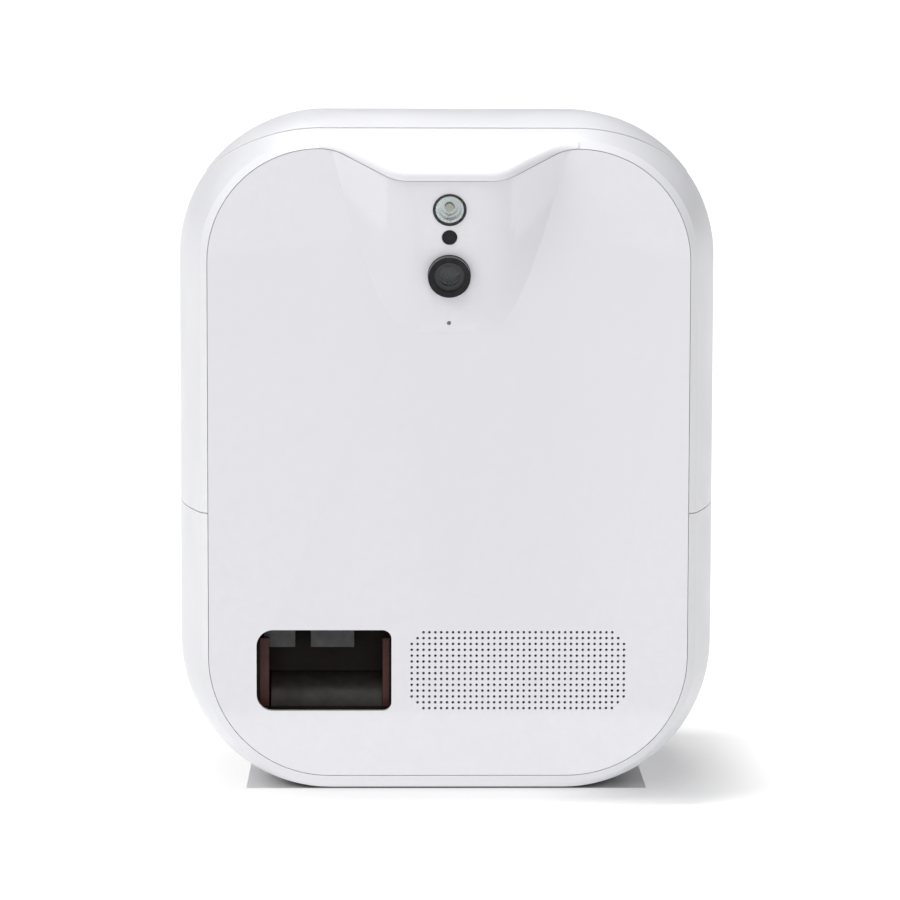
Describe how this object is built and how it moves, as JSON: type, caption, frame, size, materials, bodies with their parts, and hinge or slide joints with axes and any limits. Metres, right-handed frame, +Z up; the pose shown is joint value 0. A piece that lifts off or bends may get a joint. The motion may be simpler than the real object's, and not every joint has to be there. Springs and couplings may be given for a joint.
{
  "type": "automatic pet feeder",
  "caption": "White pet treat feeder with a camera and lamp on a nose, a lift-off lid over a treat bin, a motor-driven drum, an open treat outlet and a speaker grille.",
  "frame": {"origin": "on the floor, under the middle of the object's box", "axes": "+Z up, the front panel faces -Y, +X to the viewer's right"},
  "size_m": [0.187, 0.1556, 0.2361],
  "materials": {
    "shell_white": "satin",
    "panel_white": "gloss",
    "liner_grey": "satin",
    "black_gloss": "gloss",
    "black_matte": "matte",
    "lens_glass": "clear",
    "reflector": "satin",
    "emitter": "gloss",
    "circuit_board": "satin",
    "chute_brown": "matte",
    "guide_red_brown": "satin",
    "drum_grey": "satin",
    "gear_nylon": "satin",
    "steel": "brushed",
    "brass": "satin",
    "soft_rubber": "matte",
    "speaker_paper": "matte"
  },
  "bodies": {
    "housing": {"lower_housing": "shell_white", "upper_housing": "shell_white", "front_panel": "panel_white", "rear_cover": "shell_white", "rear_cover_screws": "steel", "rubber_feet": "soft_rubber", "camera_lens_ring": "black_gloss", "camera_lens_barrel": "black_matte", "camera_lens_glass": "lens_glass", "camera_board": "circuit_board", "camera_bracket": "black_matte", "lamp_lens": "lens_glass", "lamp_reflector": "reflector", "lamp_emitter": "emitter", "light_sensor_window": "black_gloss", "microphone": "steel", "speaker_gasket": "soft_rubber", "speaker_frame": "black_matte", "speaker_cone": "speaker_paper", "treat_hopper": "liner_grey", "outlet_chute": "chute_brown", "drum_bushes": "brass", "chute_guides": "guide_red_brown", "treat_sensor": "black_matte", "motor_bracket": "black_matte", "gear_motor": "steel", "main_board": "circuit_board", "board_components": "black_matte", "board_standoffs": "brass", "power_inlet": "black_matte", "tact_switch": "black_matte"},
    "lid": {"lid": "shell_white", "lid_seal": "soft_rubber", "lid_liner": "liner_grey"},
    "drum": {"dispensing_drum": "drum_grey", "drum_shaft": "steel", "drum_gear": "gear_nylon"},
    "pinion": {"motor_pinion": "gear_nylon", "motor_shaft": "steel"},
    "button": {"setup_button": "shell_white"}
  },
  "joints": [
    {"name": "lid_lift", "type": "slide", "parent": "housing", "child": "lid", "axis": [0, 0, 1], "range_m": [0, 0.12]},
    {"name": "drum_spin", "type": "hinge", "parent": "housing", "child": "drum", "pos_m": [-0.0415, -0.03615, 0.029], "axis": [1, 0, 0], "continuous": true},
    {"name": "pinion_spin", "type": "hinge", "parent": "housing", "child": "pinion", "pos_m": [-0.012, -0.01535, 0.029], "axis": [1, 0, 0], "continuous": true},
    {"name": "button_press", "type": "slide", "parent": "housing", "child": "button", "axis": [0, -1, 0], "range_m": [0, 0.0012], "stiffness_N_per_m": 400}
  ],
  "couplings": [
    {"joint": "pinion_spin", "follows": "drum_spin", "ratio": -3.3333}
  ]
}
